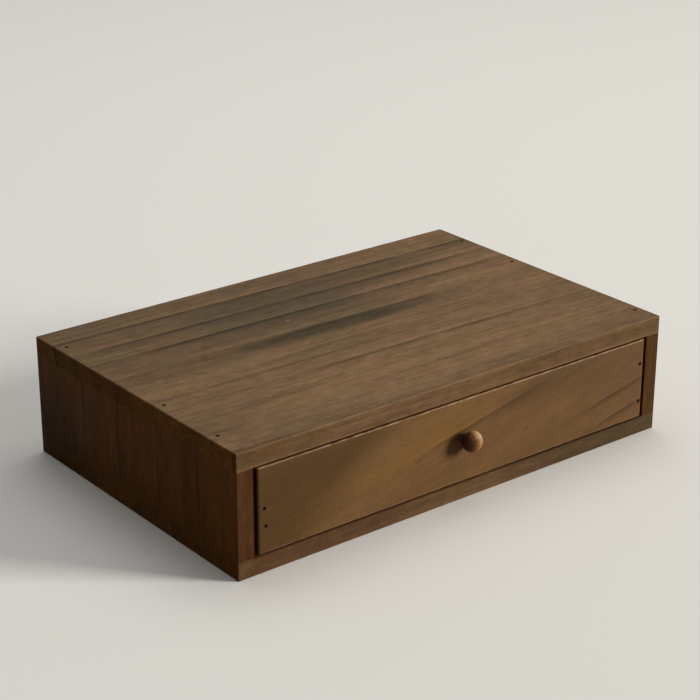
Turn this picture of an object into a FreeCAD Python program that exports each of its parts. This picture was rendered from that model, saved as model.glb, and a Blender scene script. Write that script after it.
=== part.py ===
"""Low desk box with one drawer, in dark stained wood.

Five boards make the case. The top and bottom boards lie over the ends of the two side boards and
are nailed into them. A thin back panel sits in a rebate that is cut round the rear of all four.
The drawer is a front board with two sides and a back nailed behind it. Its plywood bottom is slid
into grooves from the rear and nailed up into the back. A turned ball knob is held by one screw from
inside. Nothing stops the drawer but the back panel, so it can be pulled right out.

Millimetres. +X is to the right of someone who faces the drawer, +Y is towards the back and +Z is up.
The origin is the centre of the case's underside.
"""

import FreeCAD
import Part

import math
import os

from FreeCAD import Vector

# ---------------------------------------------------------------- the case
case_width = 370.0
case_depth = 240.0
case_height = 88.0
board = 13.0  # thickness of the four boards
case_arris = 0.8  # rounding that sanding leaves on the outer edges
opening_easing = 0.3  # small bevel round the mouth of the drawer opening

# ---------------------------------------------------------------- the back panel and its rebate
panel = 4.0  # plywood thickness, and so the depth of the rebate
rebate_lap = 6.0  # how far the rebate reaches into each board
rebate_corner = 8.0  # radius that the cutter leaves in the rebate's corners
panel_gap = 0.3  # room round the panel in the rebate

# ---------------------------------------------------------------- the drawer
front_board = 13.0  # thickness of the drawer front
front_side_gap = 1.7  # room beside the drawer, each side
front_top_gap = 1.3  # room above the drawer front
front_foot_gap = 0.6  # the front hangs clear of the bottom board by this much
front_arris = 0.9  # rounding along the drawer front's top and foot
front_end_arris = 2.0  # rounding down the two ends of the drawer front's face
drawer_drift = 0.8  # the drawer lies this far to the right in its side play
drawer_wall = 9.0  # thickness of the drawer's sides and back
side_top_gap = 6.0  # room above the drawer's sides
side_easing = 0.8  # rounding along the top of the drawer's sides and back
back_drop = 4.0  # the drawer back is this much lower than the sides
stop_gap = 0.3  # the closed drawer's rear end stands off the back panel
drawer_ply = 3.0  # thickness of the drawer bottom
groove_rise = 5.0  # underside of the drawer bottom above the foot of the sides
groove_depth = 4.0
groove_gap = 0.2  # room above the drawer bottom in its grooves, and at its edges

# ---------------------------------------------------------------- the knob and its screw
knob_head = 14.8  # diameter of its slightly flattened ball
knob_head_length = 12.8  # the ball's length along the knob's axis
knob_side = 5.6  # radius of the ball's rounded side, seen along its edge
knob_reach = 14.0  # from the drawer front to the tip of the ball
knob_neck = 6.8  # diameter where the ball meets the neck
knob_foot = 7.8  # diameter where the knob sits on the drawer front
knob_cove = 0.25  # hollow of the neck
knob_rise = 1.7  # the knob sits this far above the middle of the drawer front
knob_bite = 10.0  # depth to which the screw enters the knob
screw_shank = 3.5  # diameter
screw_head = 6.8  # diameter
screw_head_height = 2.2
screw_head_rim = 0.9  # height of the head's upright rim
screw_head_crown = 3.8  # diameter of the flat on top of the head
screw_slot = 0.9  # width of the cross recess
screw_slot_span = 3.8
screw_slot_depth = 1.2
screw_gap = 0.05  # radial room round the screw

# ---------------------------------------------------------------- the brads
brad_sides = 8  # flat sides round a brad and its hole, which are too small to need true circles
brad_shank = 1.3  # diameter
brad_head = 2.3  # diameter
brad_head_height = 0.8
brad_point = 1.8  # length of the point
brad_tip = 0.3  # diameter of the blunt end of the point
brad_gap = 0.03  # radial room round a brad
brad_sunk = 1.1  # the case's and the drawer front's brads are punched this far below the wood
case_brad = 26.0  # length of the brads through the top, the bottom and the drawer front
wall_brad = 22.0  # length of the brads through the drawer's sides
ply_brad = 15.0  # length of the brads through plywood

# Places of the brads. They were driven by eye, so no two sides are quite alike.
# Each pair is a share of the case's depth from the front, and how far to the right of the side board's
# middle, as a share of its thickness:
top_left_shares = ((0.121, 0.02), (0.367, -0.03), (0.875, 0.02))
top_right_shares = ((0.079, 0.03), (0.617, -0.02), (0.862, 0.04))
bottom_left_shares = ((0.11, -0.02), (0.48, 0.03), (0.88, 0.0))
bottom_right_shares = ((0.09, 0.02), (0.53, -0.03), (0.87, 0.02))
# Each pair is a share of the drawer side's height, and how far off the middle of the board that the
# brad enters, as a share of its thickness:
front_left_shares = ((0.346, 0.17), (0.570, 0.07))
front_right_shares = ((0.236, 0.14), (0.755, 0.06))
drawer_back_shares = ((0.34, 0.03), (0.78, -0.02))
# Along the back panel and the drawer bottom, as shares of the width that they are nailed over:
panel_shares = (-0.44, -0.15, 0.15, 0.44)
drawer_bottom_shares = (-0.42, -0.14, 0.14, 0.42)

# ---------------------------------------------------------------- places worked out from those sizes
case_left, case_right = -case_width / 2, case_width / 2
case_front, case_back = -case_depth / 2, case_depth / 2
opening_left, opening_right = case_left + board, case_right - board
opening_floor, opening_roof = board, case_height - board

front_left = opening_left + front_side_gap + drawer_drift
front_right = opening_right - front_side_gap + drawer_drift
front_foot = opening_floor + front_foot_gap
front_top = opening_roof - front_top_gap
front_rear = case_front + front_board  # the drawer front's inner face

inner_left, inner_right = front_left + drawer_wall, front_right - drawer_wall
wall_foot, wall_top = opening_floor, opening_roof - side_top_gap
wall_height = wall_top - wall_foot
drawer_rear = case_back - panel - stop_gap
back_inner = drawer_rear - drawer_wall
ply_foot = wall_foot + groove_rise
ply_top = ply_foot + drawer_ply
groove_top = ply_top + groove_gap

knob_centre = Vector((front_left + front_right) / 2, case_front, (front_foot + front_top) / 2 + knob_rise)
screw_seat = Vector(knob_centre.x, front_rear, knob_centre.z)  # where the screw's head lies

LEFTWARD, RIGHTWARD = Vector(-1, 0, 0), Vector(1, 0, 0)
FORWARD, REARWARD = Vector(0, -1, 0), Vector(0, 1, 0)
UPWARD, DOWNWARD = Vector(0, 0, 1), Vector(0, 0, -1)
NEAR = 1e-3  # two coordinates closer than this are the same
OVERSHOOT = 1.0  # a cutting tool reaches this far beyond the wood, so that it cuts cleanly


# ---------------------------------------------------------------- helpers
def block(x_range, y_range, z_range):
    """A box between three pairs of coordinates."""
    sizes = [high - low for low, high in (x_range, y_range, z_range)]
    return Part.makeBox(*sizes, Vector(x_range[0], y_range[0], z_range[0]))


def rounded(solid, radius, wanted):
    """The solid with a fillet on each straight edge whose middle passes the test."""
    return solid.makeFillet(radius, [e for e in solid.Edges if wanted(e.CenterOfMass)])


def near(a, b):
    return abs(a - b) < NEAR


def aimed(shape, spot, heading):
    """A shape that was made pointing down from the origin, moved to a spot and turned to a heading."""
    placed = shape.copy()
    placed.Placement = FreeCAD.Placement(spot, FreeCAD.Rotation(DOWNWARD, heading))
    return placed


def turned(edges):
    """A solid of revolution about Z from the edges of a closed outline in the XZ plane."""
    outline = Part.Face(Part.Wire(edges))
    return outline.revolve(Vector(0, 0, 0), UPWARD, 360)


def turned_polygon(points):
    """A solid of revolution from (radius, height) points."""
    corners = [Vector(radius, 0, height) for radius, height in points]
    return turned(Part.makePolygon(corners + corners[:1]).Edges)


def flat_faced(outlines):
    """A solid with flat faces, through a row of outlines that have equally many corners."""
    faces = [outlines[0], outlines[-1]]
    for one, two in zip(outlines, outlines[1:]):
        faces += [[one[k - 1], one[k], two[k], two[k - 1]] for k in range(len(one))]
    return Part.Solid(Part.Shell([Part.Face(Part.makePolygon(face + face[:1])) for face in faces]))


def many_sided(points):
    """A flat-sided solid about Z from (radius, height) points, the highest first."""
    turns = [2 * math.pi * side / brad_sides for side in range(brad_sides)]
    return flat_faced([[Vector(radius * math.cos(turn), radius * math.sin(turn), height) for turn in turns]
                       for radius, height in points])


def less(solid, tools):
    """The solid with every tool cut away."""
    for tool in tools:
        solid = solid.cut(tool)
    return solid


# ---------------------------------------------------------------- brads
def brad(length):
    """One brad, pointing down, with the top of its head at the origin."""
    shank = brad_shank / 2
    head = brad_head / 2
    neck = brad_head_height + (head - shank)  # the head tapers into the shank at 45 degrees
    return many_sided([
        (head, 0), (head, -brad_head_height), (shank, -neck), (shank, brad_point - length),
        (brad_tip / 2, -length),
    ])


def brad_hole(length, sunk):
    """What one brad takes out of the wood, from the surface at the origin downwards."""
    shank = brad_shank / 2 + brad_gap
    head = brad_head / 2 + brad_gap
    shoulder = sunk + brad_head_height + brad_gap
    taper = shoulder + (head - shank)
    end = sunk + length + brad_gap
    return many_sided([
        (head, OVERSHOOT), (head, -shoulder), (shank, -taper), (shank, brad_point - end),
        (brad_tip / 2 + brad_gap, -end),
    ])


class Brads:
    """A group of like brads: where each enters the wood, which way it points, and how far it is sunk."""

    def __init__(self, places, length, sunk):
        self.places = places
        self.length = length
        self.sunk = sunk

    def solids(self):
        one = brad(self.length)
        return [aimed(one, spot + heading * self.sunk, heading) for spot, heading in self.places]

    def holes(self):
        one = brad_hole(self.length, self.sunk)
        return [aimed(one, spot, heading) for spot, heading in self.places]


def along_depth(share):
    return case_front + share * case_depth


def up_wall(share):
    return wall_foot + share * wall_height


def case_brads(z, heading, left_shares, right_shares):
    """Brads through the top or the bottom board, down the middle of each side board."""
    left_line, right_line = case_left + board / 2, case_right - board / 2
    spots = [Vector(left_line + off * board, along_depth(share), z) for share, off in left_shares]
    spots += [Vector(right_line + off * board, along_depth(share), z) for share, off in right_shares]
    return Brads([(spot, heading) for spot in spots], case_brad, brad_sunk)


def panel_brads():
    """Brads through the back panel, in line with the middle of the rebate."""
    reach = rebate_lap / 2
    low, high = opening_floor - reach, opening_roof + reach
    span = opening_right - opening_left
    places = [(Vector(share * span, case_back, z), FORWARD) for z in (low, high) for share in panel_shares]
    places += [(Vector(x, case_back, (low + high) / 2), FORWARD)
               for x in (opening_left - reach, opening_right + reach)]
    return Brads(places, ply_brad, 0.0)


def drawer_front_brads():
    """Brads through the drawer front into the ends of the drawer's sides."""
    left_line, right_line = front_left + drawer_wall / 2, front_right - drawer_wall / 2
    spots = [Vector(left_line + off * drawer_wall, case_front, up_wall(share))
             for share, off in front_left_shares]
    spots += [Vector(right_line + off * drawer_wall, case_front, up_wall(share))
              for share, off in front_right_shares]
    return Brads([(spot, REARWARD) for spot in spots], case_brad, brad_sunk)


def drawer_back_brads():
    """Brads through the drawer's sides into the ends of its back."""
    line = drawer_rear - drawer_wall / 2
    places = [(Vector(front_left, line + off * drawer_wall, up_wall(share)), RIGHTWARD)
              for share, off in drawer_back_shares]
    places += [(Vector(front_right, line - off * drawer_wall, up_wall(share)), LEFTWARD)
               for share, off in drawer_back_shares]
    return Brads(places, wall_brad, 0.0)


def drawer_bottom_brads():
    """Brads up through the drawer bottom into the foot of the drawer back."""
    y = drawer_rear - drawer_wall / 2
    middle, span = (inner_left + inner_right) / 2, inner_right - inner_left
    places = [(Vector(middle + share * span, y, ply_foot), UPWARD) for share in drawer_bottom_shares]
    return Brads(places, ply_brad, 0.0)


# ---------------------------------------------------------------- cuts that several boards share
def rounded_plate(x_range, z_range, y_range, corner):
    """An upright plate with rounded corners, facing front and back."""
    plate = block(x_range, y_range, z_range)
    return rounded(plate, corner, lambda c: near(c.y, sum(y_range) / 2))


def back_rebate():
    """The seat of the back panel, cut round the rear of the assembled case."""
    lap = rebate_lap
    return rounded_plate(
        (opening_left - lap, opening_right + lap), (opening_floor - lap, opening_roof + lap),
        (case_back - panel, case_back + OVERSHOOT), rebate_corner)


def mouth_bevel():
    """The small bevel round the mouth of the drawer opening."""
    def ring(grow, y):
        x0, x1 = opening_left - grow, opening_right + grow
        z0, z1 = opening_floor - grow, opening_roof + grow
        return [Vector(x0, y, z0), Vector(x1, y, z0), Vector(x1, y, z1), Vector(x0, y, z1)]
    return flat_faced([ring(0.0, case_front + opening_easing),
                       ring(opening_easing + OVERSHOOT, case_front - OVERSHOOT)])


# ---------------------------------------------------------------- the case's pieces
def top_board(brads):
    solid = block((case_left, case_right), (case_front, case_back), (opening_roof, case_height))
    solid = rounded(solid, case_arris, lambda c: c.z > opening_roof + NEAR)
    return less(solid, [back_rebate(), mouth_bevel()] + brads)


def bottom_board(brads):
    solid = block((case_left, case_right), (case_front, case_back), (0.0, opening_floor))
    solid = rounded(solid, case_arris, lambda c: c.z < opening_floor - NEAR)
    return less(solid, [back_rebate(), mouth_bevel()] + brads)


def side(outer, inner, brads):
    """One side board, between the top and bottom boards, with its grain upright."""
    solid = block(sorted((outer, inner)), (case_front, case_back), (opening_floor, opening_roof))
    middle = (opening_floor + opening_roof) / 2
    solid = rounded(solid, case_arris, lambda c: near(c.x, outer) and near(c.z, middle))
    return less(solid, [back_rebate(), mouth_bevel()] + brads)


def back_panel(brads):
    lap = rebate_lap - panel_gap
    solid = rounded_plate(
        (opening_left - lap, opening_right + lap), (opening_floor - lap, opening_roof + lap),
        (case_back - panel, case_back), rebate_corner - panel_gap)
    return less(solid, brads)


# ---------------------------------------------------------------- the drawer's pieces
def bottom_groove():
    """The groove for the drawer bottom, round the inside of the front and sides and out at the rear."""
    return block((inner_left - groove_depth, inner_right + groove_depth),
                 (front_rear - groove_depth, drawer_rear + OVERSHOOT), (ply_foot, groove_top))


def drawer_front(brads):
    solid = block((front_left, front_right), (case_front, front_rear), (front_foot, front_top))
    solid = rounded(solid, front_end_arris,
                    lambda c: near(c.y, case_front) and near(c.z, (front_foot + front_top) / 2))
    solid = rounded(solid, front_arris, lambda c: near(c.y, case_front))
    bore = Part.makeCylinder(screw_shank / 2 + screw_gap, front_board + 2 * OVERSHOOT,
                             Vector(0, 0, OVERSHOOT), DOWNWARD)
    screw_bore = aimed(bore, screw_seat, FORWARD)
    return less(solid, [bottom_groove(), screw_bore] + brads)


def drawer_side(outer, inner, brads):
    solid = block(sorted((outer, inner)), (front_rear, drawer_rear), (wall_foot, wall_top))
    middle = (front_rear + drawer_rear) / 2
    solid = rounded(solid, side_easing, lambda c: near(c.z, wall_top) and near(c.y, middle))
    return less(solid, [bottom_groove()] + brads)


def drawer_back(brads):
    top = wall_top - back_drop
    solid = block((inner_left, inner_right), (back_inner, drawer_rear), (groove_top, top))
    middle = (inner_left + inner_right) / 2
    solid = rounded(solid, side_easing, lambda c: near(c.z, top) and near(c.x, middle))
    return less(solid, brads)


def drawer_bottom(brads):
    reach = groove_depth - groove_gap
    solid = block((inner_left - reach, inner_right + reach), (front_rear - reach, drawer_rear),
                  (ply_foot, ply_top))
    return less(solid, brads)


def drawer_knob():
    """A flattened ball on a short hollowed neck, bored from its foot for the screw."""
    head, neck, foot, flank = knob_head / 2, knob_neck / 2, knob_foot / 2, knob_head_length / 2
    centre = knob_reach - flank  # distance of the ball's centre from the foot
    flat, inset = flank - knob_side, head - knob_side
    dome = flank + (inset ** 2 - flat ** 2) / (2 * flat)  # radius of the front, tangent to the side
    dome_centre = knob_reach - dome
    lean = math.atan2(centre - dome_centre, inset)
    join = Vector(dome * math.cos(lean), 0, -dome_centre - dome * math.sin(lean))
    half_lean = (lean + math.pi / 2) / 2
    crown = Vector(dome * math.cos(half_lean), 0, -dome_centre - dome * math.sin(half_lean))
    neck_end = centre - math.sqrt(knob_side ** 2 - (neck - inset) ** 2)
    bore, bore_end = screw_shank / 2 + screw_gap, knob_bite + screw_gap
    start, cove_end, tip = Vector(foot, 0, 0), Vector(neck, 0, -neck_end), Vector(0, 0, -knob_reach)
    cove_middle = Vector((foot + neck) / 2 - knob_cove, 0, -neck_end / 2)
    outline = [
        Part.Arc(start, cove_middle, cove_end).toShape(),
        Part.Arc(cove_end, Vector(head, 0, -centre), join).toShape(),
        Part.Arc(join, crown, tip).toShape(),
        Part.makeLine(tip, Vector(0, 0, -bore_end)),
        Part.makeLine(Vector(0, 0, -bore_end), Vector(bore, 0, -bore_end)),
        Part.makeLine(Vector(bore, 0, -bore_end), Vector(bore, 0, 0)),
        Part.makeLine(Vector(bore, 0, 0), start),
    ]
    return aimed(turned(outline), knob_centre, FORWARD)


def knob_screw():
    """A screw with a cross recess, through the drawer front from inside into the knob."""
    shank, head, height = screw_shank / 2, screw_head / 2, screw_head_height
    length = front_board + knob_bite
    screw = turned_polygon([
        (0, height), (screw_head_crown / 2, height), (head, screw_head_rim), (head, 0), (shank, 0),
        (shank, screw_shank - length), (0, -length),
    ])
    half, long_half = screw_slot / 2, screw_slot_span / 2
    floor, roof = height - screw_slot_depth, height + OVERSHOOT
    screw = less(screw, [
        block((-half, half), (-long_half, long_half), (floor, roof)),
        block((-long_half, long_half), (-half, half), (floor, roof)),
    ])
    return aimed(screw, screw_seat, FORWARD)


# ---------------------------------------------------------------- assembly and files
def pieces():
    """Every node of the part: its name, and its solids."""
    top = case_brads(case_height, DOWNWARD, top_left_shares, top_right_shares)
    bottom = case_brads(0.0, UPWARD, bottom_left_shares, bottom_right_shares)
    rear = panel_brads()
    face = drawer_front_brads()
    corner = drawer_back_brads()
    floor = drawer_bottom_brads()
    case_holes = top.holes() + bottom.holes() + rear.holes()
    wall_holes = face.holes() + corner.holes()
    return {
        "top_board": [top_board(top.holes() + rear.holes())],
        "bottom_board": [bottom_board(bottom.holes() + rear.holes())],
        "left_side": [side(case_left, opening_left, case_holes)],
        "right_side": [side(case_right, opening_right, case_holes)],
        "back_panel": [back_panel(rear.holes())],
        "top_board_brads": top.solids(),
        "bottom_board_brads": bottom.solids(),
        "back_panel_brads": rear.solids(),
        "drawer_front": [drawer_front(face.holes())],
        "drawer_left_side": [drawer_side(front_left, inner_left, wall_holes)],
        "drawer_right_side": [drawer_side(front_right, inner_right, wall_holes)],
        "drawer_back": [drawer_back(corner.holes() + floor.holes())],
        "drawer_bottom": [drawer_bottom(floor.holes())],
        "drawer_front_brads": face.solids(),
        "drawer_back_brads": corner.solids(),
        "drawer_bottom_brads": floor.solids(),
        "drawer_knob": [drawer_knob()],
        "knob_screw": [knob_screw()],
    }


def export(name, shapes):
    """Writes one node's solids to its STEP file and prints what they are."""
    solids = [solid for shape in shapes for solid in shape.Solids]
    node = solids[0] if len(solids) == 1 else Part.makeCompound(solids)
    sound = all(solid.isValid() and solid.isClosed() for solid in solids)
    node.exportStep(os.path.join("parts", name + ".step"))
    box = node.BoundBox
    print(f"{name:20s} {len(solids):2d} solid(s)  {'sound' if sound else 'UNSOUND'}  "
          f"{box.XLength:7.2f} x {box.YLength:7.2f} x {box.ZLength:6.2f}  {node.Volume / 1000:8.2f} cm3")


os.makedirs("parts", exist_ok=True)
for node_name, node_shapes in pieces().items():
    export(node_name, node_shapes)
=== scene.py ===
# %% [markdown]
# # A low desk box with one drawer, in dark stained wood
#
# The real object is a plain nailed box. Four boards make the case, a thin panel closes its back, and
# one drawer fills its whole front. All of its looks are in the timber: long soft growth rings on the
# top, upright staves on the sides, a slanting figure on the drawer front, and small dark nail holes.
#
# The construction is done elsewhere and comes in as a fixed frame, so nothing is moved or reshaped
# here. This lesson gives every board its own finish, then adds the floor, the light and the camera.

import math
import random

import bpy
from mathutils import Matrix, Vector


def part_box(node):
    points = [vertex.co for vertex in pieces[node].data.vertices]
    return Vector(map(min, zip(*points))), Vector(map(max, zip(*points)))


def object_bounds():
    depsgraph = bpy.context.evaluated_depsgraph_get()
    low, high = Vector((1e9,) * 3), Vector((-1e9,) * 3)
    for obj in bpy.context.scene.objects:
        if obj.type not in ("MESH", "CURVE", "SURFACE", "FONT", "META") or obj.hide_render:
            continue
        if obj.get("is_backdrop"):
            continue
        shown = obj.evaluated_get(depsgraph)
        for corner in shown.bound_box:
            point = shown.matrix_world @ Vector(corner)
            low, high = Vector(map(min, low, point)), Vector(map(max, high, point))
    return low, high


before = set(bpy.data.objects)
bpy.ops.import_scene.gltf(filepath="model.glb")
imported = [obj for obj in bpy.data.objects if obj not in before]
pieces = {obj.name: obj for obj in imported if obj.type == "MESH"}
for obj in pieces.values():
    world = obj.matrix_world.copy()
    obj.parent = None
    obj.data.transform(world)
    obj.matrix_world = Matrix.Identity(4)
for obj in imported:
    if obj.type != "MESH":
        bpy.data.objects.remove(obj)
size_of_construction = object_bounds()
mm = 0.001  # the frame is in metres, and timber is easier to think of in millimetres

case_low, case_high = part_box("bottom_board")[0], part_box("top_board")[1]
drawer_low, drawer_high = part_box("drawer_front")
print(f"{len(pieces)} pieces came in:", ", ".join(sorted(pieces)))

# %% [markdown]
# ## A short way to write a finish
#
# A finish is a tree of small nodes. Built by hand in the shader editor it is a web of wires; written
# out node by node in Python it is long and hard to read. The way chosen here is a small class whose
# methods each add one node and return its output. A finish then reads like arithmetic, and any
# number in it can be a plain number or the output of an earlier step.

# %% The finish writer
class Nodes:
    """A tree under construction. Each method adds one node and returns its output."""

    def __init__(self, tree):
        self.tree = tree

    def feed(self, socket, value):
        """Puts a plain number, a colour or an earlier output into a socket."""
        if isinstance(value, bpy.types.NodeSocket):
            self.tree.links.new(value, socket)
        else:
            socket.default_value = value

    def node(self, kind, **settings):
        made = self.tree.nodes.new("ShaderNode" + kind)
        for setting, value in settings.items():
            setattr(made, setting, value)
        return made

    def axes(self, kind):
        """X, Y and Z of the point being shaded ("Object") or of the way its surface faces ("Normal")."""
        split = self.node("SeparateXYZ")
        self.feed(split.inputs[0], self.node("TexCoord").outputs[kind])
        return split.outputs

    def math(self, operation, *values):
        made = self.node("Math", operation=operation)
        for socket, value in zip(made.inputs, values):
            self.feed(socket, value)
        return made.outputs[0]

    def add(self, a, b):
        return self.math("ADD", a, b)

    def take(self, a, b):
        return self.math("SUBTRACT", a, b)

    def times(self, a, b):
        return self.math("MULTIPLY", a, b)

    def spread(self, value, low, high, to_low=0.0, to_high=1.0, shape="SMOOTHSTEP"):
        """Carries a value from one range to another, and holds it there."""
        made = self.node("MapRange", interpolation_type=shape, clamp=True)
        for socket, number in zip(made.inputs, (value, low, high, to_low, to_high)):
            self.feed(socket, number)
        return made.outputs[0]

    def vector(self, x, y, z):
        made = self.node("CombineXYZ")
        for socket, value in zip(made.inputs, (x, y, z)):
            self.feed(socket, value)
        return made.outputs[0]

    def noise(self, place, size=1.0, detail=2.0, roughness=0.5):
        """Soft random values about 0.5, with blots as large as size."""
        made = self.node("TexNoise")
        self.feed(made.inputs["Vector"], place)
        made.inputs["Scale"].default_value = 1.0 / size
        made.inputs["Detail"].default_value = detail
        made.inputs["Roughness"].default_value = roughness
        return made.outputs[0]

    def blend(self, share, first, second, way="MIX"):
        """Two colours, mixed by a share from 0 to 1."""
        made = self.node("Mix", data_type="RGBA", blend_type=way)
        for name, value in (("Factor_Float", share), ("A_Color", first), ("B_Color", second)):
            self.feed(next(s for s in made.inputs if s.identifier == name), value)
        return next(s for s in made.outputs if s.identifier == "Result_Color")

    def shade(self, colour, amount):
        """A colour made darker or lighter by a factor."""
        return self.blend(1.0, colour, self.grey(amount), way="MULTIPLY")

    def grey(self, amount):
        made = self.node("CombineColor")
        for socket in made.inputs[:3]:
            self.feed(socket, amount)
        return made.outputs[0]

    def relief(self, height):
        """Turns a height in metres into a bump on the surface."""
        made = self.node("Bump")
        made.inputs["Strength"].default_value = 1.0
        made.inputs["Distance"].default_value = 1.0
        self.feed(made.inputs["Height"], height)
        return made.outputs[0]


class Finish(Nodes):
    """A material under construction, with its shader ready."""

    def __init__(self, name, **shader):
        self.material = bpy.data.materials.new(name)
        self.material.use_nodes = True
        super().__init__(self.material.node_tree)
        self.tree.nodes.clear()
        self.shader = self.node("BsdfPrincipled")
        self.feed(self.node("OutputMaterial").inputs["Surface"], self.shader.outputs["BSDF"])
        for socket, value in shader.items():
            self.shader.inputs[socket.replace("_", " ")].default_value = value


def paint(node_name, finish):
    """Gives one piece of the frame its finish."""
    slots = pieces[node_name].data.materials
    slots.clear()
    slots.append(finish.material)
    for face in pieces[node_name].data.polygons:
        face.material_index = 0


print("the finish writer has", len([m for m in vars(Nodes) if not m.startswith("_")]), "steps")

# %% [markdown]
# ## Timber as a solid
#
# Wood can be painted onto each face like wallpaper, but then the figure stops dead at every arris
# and the end of a board shows long grain, which real timber never does. Here each board is cut from
# an imagined solid instead. Three lengths say where a point lies in it: along the grain, across the
# rings, and through the thickness. The same rings then run over the edge and show as end grain.

# %% Where a point lies in its board
class Board:
    """The directions of one board's timber, in millimetres from its start.

    along and across name axes, such as "X" or "-Y". slant is how far the grain climbs per length.
    """

    def __init__(self, finish, along, across, start, slant):
        self.finish = finish
        f = finish
        point = f.axes("Object")

        def measured(direction):
            axis = direction[-1]
            sign = -1.0 if direction.startswith("-") else 1.0
            return f.times(f.take(point[axis], start["XYZ".index(axis)]), sign / mm)

        straight, cross = measured(along), measured(across)
        through = (set("XYZ") - {along[-1], across[-1]}).pop()
        self.along = f.add(straight, f.times(cross, slant))
        self.across = f.take(cross, f.times(straight, slant))
        self.through = measured(through)

    def place(self, along_size, across_size, seed):
        """A point in the timber, squeezed so that noise comes out in streaks along the grain."""
        f = self.finish
        return f.vector(f.add(f.times(self.along, 1 / along_size), seed),
                        f.times(self.across, 1 / across_size), f.times(self.through, 1 / across_size))

    def streaks(self, length, width, seed, detail=2.0, roughness=0.5):
        """Noise in streaks about length by width millimetres large."""
        return self.finish.noise(self.place(length, width, seed), 1.0, detail, roughness)


print("boards have a grain, a width and a thickness")

# %% [markdown]
# ## Growth rings
#
# A ring is dark and sharp on the side where a summer's growth stopped, and fades into the next
# summer's wood on the other. Just before the sharp side the wood is at its palest. A wave texture
# gives even stripes that look printed, so each ring here has its own place, depth and fade, and its
# own start and end along the board. All of them share one soft waver, as the rings of a tree do.

# %% Ring lines
ring_lean = 0.35  # how far a ring moves across the board for each millimetre of its thickness
ring_fade = 30.0  # a ring fades in this far to both sides of its start, and out about its end
ring_foot = -1.3  # the dark side of a ring starts to darken here, in millimetres past its place,
ring_crest = 0.6  # is darkest here
ring_core = 4.5  # and has lost its sharp dark core here
pale_crest = -1.8  # the wood just before a ring is palest here
pale_foot = -0.2  # and no longer pale here
pale_depth = 0.22


def waver(board, amount, seed):
    """The place across the board, pushed to and fro by up to about amount millimetres."""
    f = board.finish
    slow = f.take(board.streaks(240.0, 60.0, seed), 0.5)
    quick = f.take(board.streaks(26.0, 8.0, seed + 7.0), 0.5)
    pushed = f.add(board.across, f.times(slow, 3.0 * amount))
    return f.add(pushed, f.times(quick, amount))


def ring_lines(board, rings, amount, seed):
    """How dark the rings make each point.

    A ring is (place, depth, fade, start, end). All but its depth are millimetres: where it lies across
    the board, how far its dark side fades, and where along the board it starts and ends.
    """
    f = board.finish
    wavering = f.add(waver(board, amount, seed), f.times(board.through, ring_lean))
    total = 0.0
    for place, depth, fade, start, end in rings:
        past = f.take(wavering, place)
        core = f.spread(past, ring_crest, ring_core, 0.5, 0.0)
        tail = f.spread(past, ring_crest, fade, 0.5, 0.0, "LINEAR")
        dark = f.times(f.spread(past, ring_foot, ring_crest), f.add(core, tail))
        pale = f.times(f.spread(past, -0.5 * fade, pale_crest, 0.0, pale_depth),
                       f.spread(past, pale_crest, pale_foot, 1.0, 0.0))
        reach = f.times(f.spread(board.along, start - ring_fade, start + ring_fade),
                        f.spread(board.along, end - ring_fade, end + ring_fade, 1.0, 0.0))
        total = f.add(total, f.times(f.times(f.take(dark, pale), depth), reach))
    return total


print("a ring is sharp on one side and fades on the other")

# %% [markdown]
# ## Blooms
#
# Stain takes unevenly. A board has cool grey places where the heartwood was dense, and warm ones
# where it drank more. A bloom is a soft ellipse with a ragged edge, longer along the grain than
# across, and it pulls the colour towards a tint. Some blooms are painted shade or painted light
# instead: the knob's lit and unlit sides, the left side's lower part and rear, and the rear of the
# bottom board's left end.

# %% Soft blooms of colour
bloom_heart, bloom_rim = 0.3, 1.15  # shares of its reach where a bloom starts to fade and where it ends


def bloom(board, colour, centre, reach, tint, share, seed, torn):
    """Pulls the colour towards a tint. centre and reach are pairs: along the board, and across it."""
    f = board.finish
    away = f.node("VectorMath", operation="LENGTH")
    f.feed(away.inputs[0], f.vector(f.times(f.take(board.along, centre[0]), 1 / reach[0]),
                                    f.times(f.take(board.across, centre[1]), 1 / reach[1]), 0.0))
    ragged = f.add(away.outputs["Value"], f.times(f.take(board.streaks(80.0, 9.0, seed), 0.5), torn))
    return f.blend(f.spread(ragged, bloom_heart, bloom_rim, share, 0.0), colour, tint)


print("blooms follow the grain")

# %% [markdown]
# ## Arrises
#
# Every corner that a hand or a cloth reaches loses a little stain. On the drawer front the pale arris
# is also a painted highlight, the bright line along its top arris. Painting that by hand needs a
# brush, and finding corners from the mesh needs a fine mesh. These pieces are boxes, so arithmetic
# is enough: a point lies near an arris when it is close to two of the box's six faces at once. The
# three depths under the faces are added up, and the deepest is left out.

# %% How near an arris is
arris_reach = 1.3  # how far from an arris the wood is rubbed pale (on the drawer front also a painted highlight), in millimetres
rim_reach = 1.5  # how far from an opening's rim the painted shade lies (on the top board, a painted highlight)
full = 0.3  # the share of such a reach that has the full effect


def arris(finish, low, high):
    """1 on the arrises of a box, falling to 0 a little way off. low and high are the box's corners."""
    f = finish
    point = f.axes("Object")
    x, y, z = [f.math("ABSOLUTE", f.times(f.math("MINIMUM", f.take(socket, a), f.take(b, socket)), 1 / mm))
               for socket, a, b in zip(point, low, high)]
    deepest = f.math("MAXIMUM", f.math("MAXIMUM", x, y), z)
    near = f.take(f.add(f.add(x, y), z), deepest)
    return f.spread(near, full * arris_reach, arris_reach, 1.0, 0.0)


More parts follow.
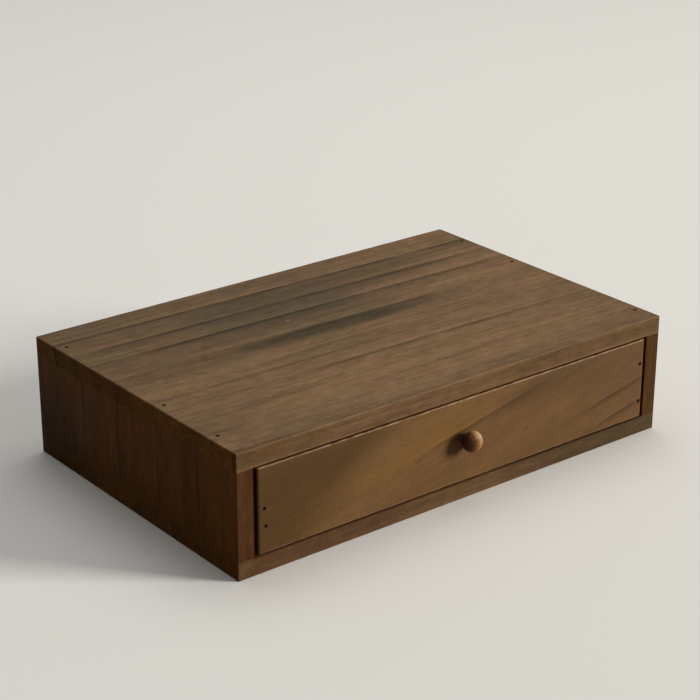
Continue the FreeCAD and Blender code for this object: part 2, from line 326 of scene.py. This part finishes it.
def rim(finish, low, high):
    """1 on the rim of an opening in the front, falling to 0 a little way off. It has low and high corners."""
    f = finish
    point = f.axes("Object")
    out_by = []
    for axis in ("X", "Z"):
        a, b = low["XYZ".index(axis)], high["XYZ".index(axis)]
        from_middle = f.math("ABSOLUTE", f.take(point[axis], (a + b) / 2))
        out_by.append(f.take(from_middle, (b - a) / 2))
    sideways = f.math("ABSOLUTE", f.math("MAXIMUM", *out_by))
    inward = f.math("ABSOLUTE", f.take(point["Y"], low.y))
    return f.spread(f.times(f.add(sideways, inward), 1 / mm), full * rim_reach, rim_reach, 1.0, 0.0)


print("arrises are found from the box round a piece")

# %% [markdown]
# ## Nail holes
#
# The nails were punched below the surface, and the stain pooled round each hole, so a hole looks
# larger than it is and has a soft torn edge. The nails are pieces of the frame, so their places are
# read from them: each loose part of a nail piece is one nail.

# %% Where the nails are
nail_width = 3 * mm  # points that lie this close together, seen along a nail, belong to one nail
stain_reach = 1.9  # how far from a nail's middle the stain has pooled, in millimetres
stain_heart = 0.6  # the share of that reach that is darkest
tear_size, tear_depth = 1.6 * mm, 1.4  # the torn edge of the stain: how large its teeth are, and how deep


def nail_places(node_name, nail_axis):
    """The middle of every nail in a piece, found by gathering the points round each nail's length."""
    kept = [0.0 if axis == nail_axis else 1.0 for axis in "XYZ"]
    nails = []
    for point in pieces[node_name].data.vertices:
        flat = Vector(a * b for a, b in zip(point.co, kept))
        for nail in nails:
            if (nail[0] - flat).length < nail_width:
                nail.append(flat)
                break
        else:
            nails.append([flat])
    return [sum(nail, Vector()) / len(nail) for nail in nails]


def stain_round_nails(board, node_name, nail_axis):
    """1 at the nails of a piece, falling to 0 a little way out."""
    f = board.finish
    flatten = f.node("VectorMath", operation="MULTIPLY")
    f.feed(flatten.inputs[0], f.node("TexCoord").outputs["Object"])
    flatten.inputs[1].default_value = [0.0 if axis == nail_axis else 1.0 for axis in "XYZ"]
    torn = f.times(f.take(f.noise(flatten.outputs[0], tear_size, 1.0), 0.5), tear_depth)
    total = 0.0
    for place in nail_places(node_name, nail_axis):
        away = f.node("VectorMath", operation="DISTANCE")
        f.feed(away.inputs[0], flatten.outputs[0])
        away.inputs[1].default_value = place
        ragged = f.add(f.times(away.outputs["Value"], 1 / mm), torn)
        pooled = f.spread(ragged, stain_heart * stain_reach, stain_reach, 1.0, 0.0)
        total = f.math("MAXIMUM", total, pooled)
    return total


print("the top board has", len(nail_places("top_board_brads", "Z")), "nails")

# %% [markdown]
# ## The finish of a board
#
# One recipe serves every board, and each board says only what is its own: which way it was sawn,
# where its rings lie and how deep its stain is. From large to small the recipe has broad bands,
# blooms, rings, streaks, short flecks, fibres and open pores. Ends and edges take the stain in their
# own way, so each has a tint that multiplies the colour; on the drawer front that tint is painted shade
# for the gaps round it, and on the sides' front edges it takes the sides' painted shade back out. The
# same pores and fibres that darken the colour also dent the surface, which breaks up the highlights.

# %% Stained timber
warm_sheen = (1.0, 0.86, 0.70, 1.0)
worn_wood = (0.30, 0.19, 0.10, 1.0)
dust_colour = (0.26, 0.16, 0.11, 1.0)
pooled_stain = (0.034, 0.011, 0.003, 1.0)
greenish, reddish = (0.98, 1.015, 0.97, 1.0), (1.04, 0.97, 1.04, 1.0)  # the ends of the slow drift in hue
unstained = (1.0, 1.0, 1.0, 1.0)
dark_ends = (0.5, 0.45, 0.5, 1.0)
# Painted shade in the gaps round the drawer opening
rim_painted_shade = (0.42, 0.27, 0.18, 1.0)
pooled_share = 0.85  # how much of the colour the pooled stain takes over
fleck_contrast, mottle_contrast = 0.26, 0.22
pore_darkness = 0.62  # the colour in an open pore is multiplied by this
pore_dullness, rim_dullness, gloss_drift = 0.15, 0.4, 0.14
pore_depth, ring_depth = 0.05 * mm, 0.03 * mm
fibre_height, wave_height = 0.025 * mm, 0.06 * mm


def timber(name, along, across, start, rings, light, dark, box, slant=0.0, seed=0.0, blooms=(),
           wear_and_highlight=0.2, wear_and_highlight_colour=worn_wood, nails=None, nail_axis="Z", figure=0.8, streaky=1.0,
           end_stain_and_shade=dark_ends, edge_stain_and_shade=unstained, hole=None, rim_shade_and_highlight=rim_painted_shade, roughness=0.5,
           polish=0.2, chalk=0.2, drifting=1.0, torn=1.0, lively=1.0):
    """The finish of one board.

    box is the box whose arrises turn pale, from wear and on the drawer front also as a painted highlight, and
    hole is an opening whose rim gets painted shade (on the top board, a painted highlight). figure is how far
    the rings waver. streaky, drifting and lively say how strong the streaks, the drift in hue and the
    short flecks are. torn is how ragged the blooms are, and chalk how much dust the edges hold.
    """
    f = Finish(name, Specular_Tint=warm_sheen)
    board = Board(f, along, across, start, slant)
    # Every kind of streak has its own length, width and place in the noise.
    bands = f.spread(board.streaks(420.0, 30.0, seed), 0.3, 0.7)
    streaks = f.spread(board.streaks(130.0, 3.2, seed + 3.0, 3.0, 0.6), 0.28, 0.72)
    flecks = board.streaks(9.0, 2.4, seed + 13.0, 3.0, 0.6)
    mottle = board.streaks(17.0, 8.0, seed + 19.0, 2.0)
    hue = f.spread(board.streaks(48.0, 15.0, seed + 29.0), 0.3, 0.7)
    fibres = board.streaks(22.0, 0.5, seed + 11.0, 2.0, 0.6)
    pores = f.spread(board.streaks(5.0, 0.34, seed + 23.0, 0.0), 0.62, 0.72)
    pores = f.times(pores, f.spread(board.streaks(55.0, 9.0, seed + 31.0), 0.38, 0.62, 0.15, 1.0))

    by_streaks = 0.4 * streaky  # the rest of the change from dark to light is the bands'
    tone = f.add(f.times(bands, 1 - by_streaks), f.times(streaks, by_streaks))
    colour = f.blend(tone, dark, light)
    for count, (centre, reach, tint, share) in enumerate(blooms):
        colour = bloom(board, colour, centre, reach, tint, share, seed + 50.0 + 9.0 * count, torn)
    marks = ring_lines(board, rings, figure, seed)
    marks = f.times(marks, f.spread(board.streaks(60.0, 12.0, seed + 17.0), 0.30, 0.62, 0.5, 1.15))
    colour = f.shade(colour, f.take(1.0, marks))
    colour = f.shade(colour, f.spread(streaks, 0.0, 1.0, 1 - 0.10 * streaky, 1 + 0.10 * streaky, "LINEAR"))
    for patches, contrast in ((flecks, fleck_contrast * lively), (mottle, mottle_contrast * lively)):
        colour = f.shade(colour, f.spread(patches, 0.2, 0.8, 1 - contrast, 1 + contrast, "LINEAR"))
    colour = f.blend(drifting, colour, f.blend(hue, greenish, reddish), way="MULTIPLY")
    colour = f.shade(colour, f.spread(fibres, 0.2, 0.8, 0.82, 1.18, "LINEAR"))
    colour = f.shade(colour, f.spread(pores, 0.0, 1.0, 1.0, pore_darkness, "LINEAR"))

    facing = f.axes("Normal")
    on_end, on_edge = [f.spread(f.math("ABSOLUTE", facing[axis[-1]]), 0.75, 0.95)
                       for axis in (along, across)]
    # Ends and edges take their own tint: stain, and on the drawer front painted shade for the gaps
    for turned, stain_and_shade in ((on_end, end_stain_and_shade), (on_edge, edge_stain_and_shade)):
        colour = f.blend(turned, colour, f.blend(1.0, colour, stain_and_shade, way="MULTIPLY"))
    f.feed(f.shader.inputs["Specular IOR Level"], f.spread(on_end, 0.0, 1.0, polish, 0.15 * polish))
    if chalk:
        dust = f.spread(board.streaks(2.6, 1.1, seed + 37.0, 1.0), 0.60, 0.78, 0.0, chalk)
        colour = f.blend(f.times(dust, on_edge), colour, dust_colour)
    # Pale arrises: wear, and on the drawer front also a painted highlight along its top arris
    wear_and_highlight_mask = f.times(arris(f, *box), f.spread(board.streaks(11.0, 2.5, seed + 41.0), 0.30, 0.62))
    colour = f.blend(f.times(wear_and_highlight_mask, wear_and_highlight), colour, wear_and_highlight_colour)
    dull = f.times(pores, pore_dullness)
    # Round the opening: painted shade in the gaps, and on the top board a painted highlight
    if hole:
        rim_shade_and_highlight_mask = rim(f, *hole)
        colour = f.blend(rim_shade_and_highlight_mask, colour, f.blend(1.0, colour, rim_shade_and_highlight, way="MULTIPLY"))
        dull = f.math("MAXIMUM", dull, f.times(rim_shade_and_highlight_mask, rim_dullness))
    if nails:
        pooled = f.times(stain_round_nails(board, nails, nail_axis), pooled_share)
        colour = f.blend(pooled, colour, pooled_stain)

    gloss = f.add(f.times(f.take(f.noise(board.place(40.0, 18.0, seed)), 0.5), gloss_drift), roughness)
    height = f.add(f.times(pores, -pore_depth), f.times(fibres, fibre_height))
    height = f.add(height, f.times(marks, -ring_depth))
    height = f.add(height, f.times(f.noise(board.place(50.0, 14.0, seed + 2.0), 1.0, 1.0), wave_height))
    f.feed(f.shader.inputs["Base Color"], colour)
    f.feed(f.shader.inputs["Roughness"], f.add(gloss, dull))
    f.feed(f.shader.inputs["Normal"], f.relief(height))
    return f


most_rings = 8


def seeded_rings(seed, width, gap=26.0, depth=0.45):
    """Rings for a board that has none of its own: uneven, about a gap apart, but the same each time."""
    draw = random.Random(seed)
    rings, place = [], draw.uniform(0.2, 0.7) * gap
    while place < width - 0.3 * gap and len(rings) < most_rings:
        start = draw.uniform(-260.0, -60.0)
        rings.append((place, depth * draw.uniform(0.5, 1.0), gap * draw.uniform(0.4, 0.8), start,
                      start + draw.uniform(220.0, 420.0)))
        place += gap * draw.uniform(0.6, 1.5)
    return rings


print("one recipe for every board")

# %% [markdown]
# ## The case
#
# The top board carries the figure that is seen first: growth rings along its length, strongest at the
# back, with a cool grey bloom behind its middle and a dark olive band in front of that. All of the top's
# colours are made greyer and bluer than the wood alone, a painted sheen in place of the room's
# reflection. The sides were cut with their grain upright, and are redder and darker; part of that is
# painted shade, the warm dark look of a side turned from the light, which their front edges take back
# out. The left side's lower part and rear, and the rear of the bottom board's left end, are darkened
# with painted shade as well. The rings and blooms of a board are lists,
# in millimetres along the board and across it, so they are easy to move.

# %% Finishes of the case's boards
case_box = (case_low, case_high)
case_depth, opening_height = 240.0, 62.0  # in millimetres, for boards whose rings are drawn by chance
over_back = (0.0, case_high.y, case_high.z)
under_back = (0.0, case_high.y, case_low.z)
left_back = (case_low.x, case_high.y, case_low.z)
right_back = (case_high.x, case_high.y, case_low.z)
side_low, side_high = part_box("left_side")
opening = (Vector((side_high.x, case_low.y, side_low.z)), Vector((-side_high.x, case_high.y, side_high.z)))

walnut_light = (0.156, 0.079, 0.0240, 1.0)
walnut_dark = (0.086, 0.047, 0.0130, 1.0)
# The top's colours, its blooms and bands included, are greyer and bluer than the wood alone: a painted sheen
# in place of the room's reflection
top_light_with_sheen = (0.182, 0.1040, 0.0495, 1.0)
top_dark_with_sheen = (0.101, 0.0625, 0.0268, 1.0)
grey_bloom = (0.080, 0.0560, 0.0285, 1.0)
olive_band = (0.051, 0.0360, 0.0150, 1.0)
warm_bloom = (0.212, 0.1205, 0.0525, 1.0)
pale_band = (0.222, 0.1290, 0.0585, 1.0)
# The sides' red, dark tone is partly painted shade: the warm dark look of a side turned from the light
red_light = (0.146, 0.060, 0.0108, 1.0)
red_dark = (0.083, 0.032, 0.0056, 1.0)
# Painted shade on the left side: over its lower part, and deeper at its rear and rear foot
low_side_painted_shade = (0.090, 0.036, 0.0064, 1.0)
rear_painted_shade = (0.052, 0.021, 0.0036, 1.0)
rear_foot_painted_shade = (0.034, 0.0125, 0.0016, 1.0)
top_lip_left = (0.097, 0.053, 0.0200, 1.0)
top_lip_right = (0.080, 0.045, 0.0155, 1.0)
bottom_lip_left = (0.100, 0.046, 0.0130, 1.0)
bottom_lip_right = (0.073, 0.040, 0.0105, 1.0)
# Painted shade at the rear of the bottom board's left end
bottom_rear_painted_shade = (0.052, 0.031, 0.0050, 1.0)
nick = (0.34, 0.28, 0.21, 1.0)

# These multiply a board's colour at its ends, along its edges, or round the opening.
red_ends = (1.00, 0.80, 0.62, 1.0)
top_ends = (1.02, 0.85, 0.58, 1.0)
top_edges = (0.93, 0.92, 0.92, 1.0)
# The sides' front edges face the light, so these two take most of the sides' painted warm shade back out
# there
left_post = (0.62, 0.66, 1.38, 1.0)
right_post = (0.59, 0.67, 0.96, 1.0)
red_edges = (0.84, 0.87, 1.15, 1.0)
# A painted highlight along the top board's lower front arris, over the drawer
rim_painted_highlight = (1.2, 1.15, 1.1, 1.0)

everywhere = (-400.0, 400.0)
top_rings = [(26.0, 0.62, 20, *everywhere), (51.5, 0.56, 16, -160.0, 160.0), (73.5, 0.62, 19, -180.0, 180.0),
             (102.5, 0.26, 18, *everywhere), (104.5, 0.40, 17, -85.0, 95.0), (149.0, 0.30, 8, -200.0, 0.0),
             (166.0, 0.30, 9, *everywhere), (166.5, 0.26, 7, -70.0, 130.0), (203.0, 0.34, 7, -65.0, 55.0)]
top_blooms = [((-18.0, 62.0), (110.0, 55.0), grey_bloom, 0.8),
              ((60.0, 190.0), (230.0, 60.0), warm_bloom, 0.5),
              ((150.0, 90.0), (60.0, 80.0), warm_bloom, 0.5),
              ((5.0, 112.0), (112.0, 10.0), olive_band, 0.85),
              ((20.0, 195.0), (190.0, 7.0), pale_band, 0.5),
              ((-20.0, 215.0), (170.0, 22.0), pale_band, 0.4),
              ((-175.0, 50.0), (60.0, 70.0), grey_bloom, 0.25),
              ((-105.0, 16.0), (130.0, 26.0), grey_bloom, 0.3),
              ((-130.0, 140.0), (90.0, 20.0), pale_band, 0.35),
              ((-165.0, 241.0), (70.0, 3.0), top_lip_left, 1.0),
              ((160.0, 241.0), (130.0, 3.0), top_lip_right, 1.0),
              ((-186.0, 34.0), (2.2, 62.0), pale_band, 0.35),
              ((-28.5, 85.0), (1.4, 0.8), nick, 0.8),
              ((149.0, 189.0), (2.2, 1.0), nick, 0.6)]
bottom_blooms = [((-150.0, 240.0), (100.0, 30.0), bottom_lip_left, 1.0),
                 ((160.0, 240.0), (150.0, 30.0), bottom_lip_right, 1.0),
                 # painted shade at the rear of the bottom board's left end
                 ((-186.0, 8.0), (16.0, 60.0), bottom_rear_painted_shade, 0.9)]
# The left side's blooms are all painted shade
left_painted_shade = [((10.0, 120.0), (26.0, 190.0), low_side_painted_shade, 0.6),
               ((26.0, 12.0), (55.0, 52.0), rear_painted_shade, 0.85),
               ((14.0, 6.0), (30.0, 58.0), rear_foot_painted_shade, 0.75)]
side_rings = [(59.0, 0.62, 6, 30.0, 140.0), (102.5, 0.58, 7, 28.0, 140.0), (150.0, 0.15, 12, -40.0, 90.0),
              (196.5, 0.50, 4, 20.0, 140.0), (222.0, 0.2, 8, -40.0, 90.0)]

paint("top_board", timber("walnut_top", "X", "-Y", over_back, top_rings, top_light_with_sheen, top_dark_with_sheen, case_box,
                          slant=0.018, seed=1.0, blooms=top_blooms, nails="top_board_brads", figure=0.5,
                          end_stain_and_shade=top_ends, edge_stain_and_shade=top_edges, hole=opening,
                          rim_shade_and_highlight=rim_painted_highlight, roughness=0.56, polish=0.08, lively=0.85))
paint("bottom_board", timber("walnut_bottom", "X", "-Y", under_back, seeded_rings(4, case_depth),
                             walnut_light, walnut_dark, case_box, slant=-0.015, seed=40.0,
                             nails="bottom_board_brads", blooms=bottom_blooms, end_stain_and_shade=red_ends,
                             edge_stain_and_shade=red_edges, hole=opening))
paint("left_side", timber("walnut_left", "Z", "-Y", left_back, side_rings, red_light, red_dark, case_box,
                          seed=80.0, hole=opening, wear_and_highlight=0.1, polish=0.04, streaky=0.6, chalk=0.0,
                          blooms=left_painted_shade, edge_stain_and_shade=left_post))
paint("right_side", timber("walnut_right", "Z", "-Y", right_back, seeded_rings(9, case_depth), red_light,
                           red_dark, case_box, seed=120.0, hole=opening, wear_and_highlight=0.1, polish=0.06, chalk=0.0,
                           edge_stain_and_shade=right_post))
paint("back_panel", timber("ply_back", "X", "Z", under_back, seeded_rings(2, 90.0, 16.0, 0.3), walnut_light,
                           walnut_dark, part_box("back_panel"), seed=160.0, nails="back_panel_brads",
                           nail_axis="Y"))
print("the case is finished")

# %% [markdown]
# ## The drawer
#
# The drawer front was sawn a little across the grain, so its rings climb to the right. It is a
# warmer, more golden brown than the case. Its arrises are rubbed pale by fingers, and along its top
# arris the pale colour is also a painted highlight; its ends and edges are darkened with painted
# shade for the gaps round it. The knob is a small board of its own, with one bloom of painted
# highlight on its lit side and two of painted shade, over its unlit side and under its head.

# %% Finishes of the drawer's boards
gold_light = (0.159, 0.082, 0.0280, 1.0)
gold_dark = (0.121, 0.060, 0.0200, 1.0)
gold_glow = (0.168, 0.086, 0.0220, 1.0)
olive = (0.069, 0.034, 0.0072, 1.0)
shaded_gold = (0.094, 0.048, 0.0155, 1.0)
# Painted shade on the drawer front's ends and edges, which darkens the gaps round it
gap_painted_shade = (0.50, 0.36, 0.22, 1.0)
# Pale colour of the drawer front's arrises: wear, and along its top arris a painted highlight
wear_and_highlight_gold = (0.40, 0.29, 0.18, 1.0)

front_start = (0.0, drawer_low.y, drawer_high.z + 40 * mm)
front_rings = [(62.0, 0.42, 7, -50.0, 58.0), (104.5, 0.44, 6, 85.0, 400.0), (121.0, 0.46, 6, 105.0, 400.0),
               (84.0, 0.10, 16, -140.0, 20.0)]
front_blooms = [((-152.0, 33.0), (66.0, 38.0), olive, 0.9),
                ((-115.0, 27.0), (60.0, 14.0), olive, 0.8),
                ((-184.0, 50.0), (46.0, 80.0), olive, 0.85),
                ((75.0, 64.0), (70.0, 12.0), shaded_gold, 0.9),
                ((145.0, 81.0), (70.0, 16.0), shaded_gold, 0.9),
                ((-52.0, 57.0), (75.0, 13.0), gold_glow, 0.8),
                ((160.0, 80.0), (60.0, 40.0), gold_dark, 0.9),
                ((41.0, 89.5), (3.5, 1.6), walnut_dark, 0.8),
                ((-54.5, 65.5), (3.6, 1.8), shaded_gold, 0.7)]
drawer_box = (drawer_low, drawer_high)
paint("drawer_front",
      timber("walnut_drawer_front", "X", "-Z", front_start, front_rings, gold_light, gold_dark, drawer_box,
             slant=-0.21, seed=200.0, blooms=front_blooms, wear_and_highlight=0.55, wear_and_highlight_colour=wear_and_highlight_gold,
             nails="drawer_front_brads", nail_axis="Y", figure=0.8, streaky=0.2, chalk=0.0, drifting=0.3,
             torn=0.4, lively=0.4, end_stain_and_shade=gap_painted_shade, edge_stain_and_shade=gap_painted_shade))

inner_start = (0.0, drawer_low.y, drawer_low.z)
for place, name in enumerate(("drawer_left_side", "drawer_right_side")):
    paint(name, timber(name + "_wood", "Y", "Z", inner_start, seeded_rings(20 + place, opening_height, 20.0),
                       gold_light, gold_dark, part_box(name), seed=240.0 + 40 * place))
paint("drawer_back", timber("drawer_back_wood", "X", "Z", inner_start, seeded_rings(30, opening_height, 20.0),
                            gold_light, gold_dark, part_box("drawer_back"), seed=320.0))
paint("drawer_bottom", timber("drawer_bottom_ply", "X", "Y", inner_start,
                              seeded_rings(33, case_depth, 34.0, 0.3), gold_light, gold_dark,
                              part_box("drawer_bottom"), seed=360.0))

knob_light = (0.235, 0.110, 0.038, 1.0)
knob_dark = (0.170, 0.074, 0.022, 1.0)
# Painted shade for the knob's unlit side and under its head, and a painted highlight for its lit right side
knob_painted_shade = (0.060, 0.016, 0.004, 1.0)
neck_painted_shade = (0.050, 0.014, 0.004, 1.0)
knob_painted_highlight = (0.480, 0.310, 0.155, 1.0)
knob_ends = (0.9, 0.85, 0.8, 1.0)
knob_low, knob_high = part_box("drawer_knob")
# Painted light and shade on the knob: shade over its left side and by its neck, a pale highlight on its right
knob_painted_light_and_shade = [((7.0, -1.5), (30.0, 9.5), knob_painted_shade, 0.95),
               ((14.0, 7.0), (6.0, 30.0), neck_painted_shade, 0.95),
               ((5.0, 15.0), (14.0, 9.5), knob_painted_highlight, 0.95)]
knob_rings = [(4, 0.3, 3, *everywhere), (9, 0.3, 3, *everywhere)]
paint("drawer_knob", timber("walnut_knob", "Y", "X", knob_low, knob_rings, knob_light, knob_dark,
                            (knob_low, knob_high), seed=400.0, wear_and_highlight=0.0, blooms=knob_painted_light_and_shade, torn=0.3,
                            roughness=0.42, chalk=0.0, end_stain_and_shade=knob_ends))
print("the drawer is finished")

# %% [markdown]
# ## Nails and screw
#
# The nails that show were stained over with the wood, so their heads are dull and brown at the foot
# of their holes, where bare steel would glint. The nails in the back and inside the drawer are bright
# steel, and the knob's screw is plated.

# %% Finishes of the metal
def metal(name, colour, roughness, metallic=1.0):
    """A metal with fine spots in its colour and its shine."""
    f = Finish(name, Metallic=metallic)
    spots = f.noise(f.node("TexCoord").outputs["Object"], 1.2 * mm, 3.0)
    f.feed(f.shader.inputs["Base Color"], f.shade(colour, f.spread(spots, 0.3, 0.7, 0.7, 1.2)))
    f.feed(f.shader.inputs["Roughness"], f.spread(spots, 0.3, 0.7, roughness, roughness + 0.2))
    return f


stained_brown = (0.085, 0.028, 0.008, 1.0)
steel_grey = (0.30, 0.28, 0.25, 1.0)
brassy = (0.62, 0.55, 0.38, 1.0)
stained_steel = metal("stained_brads", stained_brown, 0.8, 0.0)
bright_steel = metal("bright_brads", steel_grey, 0.4)
plated = metal("plated_screw", brassy, 0.3)
for name in ("top_board_brads", "bottom_board_brads", "drawer_front_brads"):
    paint(name, stained_steel)
for name in ("back_panel_brads", "drawer_back_brads", "drawer_bottom_brads"):
    paint(name, bright_steel)
paint("knob_screw", plated)
print("nails and screw are finished")

# %% [markdown]
# ## The floor
#
# The box stands on a plain pale floor. A pale floor throws a lot of light back up, which would wash
# out the shaded side, so only what looks at it directly or in a reflection sees it pale. The light
# that bounces off it is that of a wooden desk.

# %% Floor
def looked_at(tree):
    """1 for rays that see a surface directly, in a reflection or through glass, and 0 for bounced light."""
    ray = tree.node("LightPath").outputs
    seen = tree.math("MAXIMUM", ray["Is Camera Ray"], ray["Is Glossy Ray"])
    return tree.math("MAXIMUM", seen, ray["Is Transmission Ray"])


floor_width = 12.0
seen_pale = (0.76, 0.74, 0.69, 1.0)
bounced_brown = (0.26, 0.17, 0.10, 1.0)
bpy.ops.mesh.primitive_plane_add(size=floor_width, location=(0, 0, 0))
floor = bpy.context.object
floor.name = "floor"
pale = Finish("pale_floor", Roughness=1.0, Specular_IOR_Level=0.0)
pale.feed(pale.shader.inputs["Base Color"],
          pale.blend(looked_at(pale), bounced_brown, seen_pale))
floor.data.materials.append(pale.material)
floor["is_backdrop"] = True
print("floor", floor_width, "m wide")

# %% [markdown]
# ## Light
#
# One large soft lamp stands for a window on the right, in front and quite low. It makes the knob's
# shadow, and together with the painted highlight in the drawer front's colour it makes the bright line
# along the drawer's top arris. It is far away, so that the floor is lit evenly. A wide weak lamp above
# fills the top. The room is pale to look at, and sends only a little light, most of it from above and behind.

# %% Lamps
target = Vector((0.0, 0.0, 0.045))


def lamp(name, azimuth, elevation, distance, width, height, power, colour):
    """A flat lamp that looks at the box. Azimuth is in degrees from straight in front, to the right."""
    light = bpy.data.lights.new(name, "AREA")
    light.shape = "RECTANGLE"
    light.size = width
    light.size_y = height
    light.energy = power
    light.color = colour
    held = bpy.data.objects.new(name, light)
    bpy.context.scene.collection.objects.link(held)
    turn, rise = math.radians(azimuth), math.radians(elevation)
    away = Vector((math.sin(turn) * math.cos(rise), -math.cos(turn) * math.cos(rise), math.sin(rise)))
    held.location = target + away * distance
    held.rotation_euler = (-away).to_track_quat("-Z", "Y").to_euler()  # its height stays upright


lamp("window", 45.0, 18.0, 12.0, 3.0, 4.6, 1820.0, (1.0, 0.97, 0.93))
lamp("overhead", 130.0, 72.0, 2.4, 2.0, 2.0, 20.0, (0.98, 0.99, 1.0))

world = bpy.data.worlds.new("pale_room")
world.use_nodes = True
bpy.context.scene.world = world
room = Nodes(world.node_tree)
background = world.node_tree.nodes["Background"]
seen_room = (0.60, 0.61, 0.57, 1.0)
brightest_way = (0.35, 0.55, 0.76)
least_sent, most_sent = 0.03, 0.40
towards = room.node("VectorMath", operation="DOT_PRODUCT")
room.feed(towards.inputs[0], room.node("TexCoord").outputs["Generated"])
towards.inputs[1].default_value = brightest_way
sent = room.spread(towards.outputs["Value"], -0.3, 0.9, least_sent, most_sent)
room.feed(background.inputs["Color"], room.blend(looked_at(room), room.grey(sent), seen_room))
print("two lamps and a dim room")

# %% [markdown]
# ## Camera
#
# The camera looks from the front left, a little above, with a long lens, so the box shows its front,
# its left side and its top with only a little perspective.

# %% Camera
camera_place = (-0.7924, -0.9977, 0.6007)
turn, fall, roll = math.radians(-38.389), math.radians(22.629), math.radians(0.122)

lens = bpy.data.cameras.new("camera")
lens.lens = 100.43
lens.sensor_width = 36.0
lens.clip_start = 0.01
camera = bpy.data.objects.new("camera", lens)
bpy.context.scene.collection.objects.link(camera)
held = (Matrix.Rotation(turn, 4, "Z") @ Matrix.Rotation(math.pi / 2 - fall, 4, "X")
        @ Matrix.Rotation(roll, 4, "Z"))
camera.matrix_world = Matrix.Translation(camera_place) @ held
bpy.context.scene.camera = camera
bpy.context.scene.view_settings.view_transform = "Standard"
print("camera", tuple(round(c, 3) for c in camera.location))

# %% [markdown]
# ## Hand over
#
# The size of what is shown is measured against the size of the construction, and the largest move
# of a corner is printed, because the finish must not change it.

# %% Sizes, and the end
size_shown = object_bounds()
moved = max(abs(a - b) for p, q in zip(size_of_construction, size_shown) for a, b in zip(p, q))
print("the finish moved the corners by", round(moved / mm, 4), "mm")
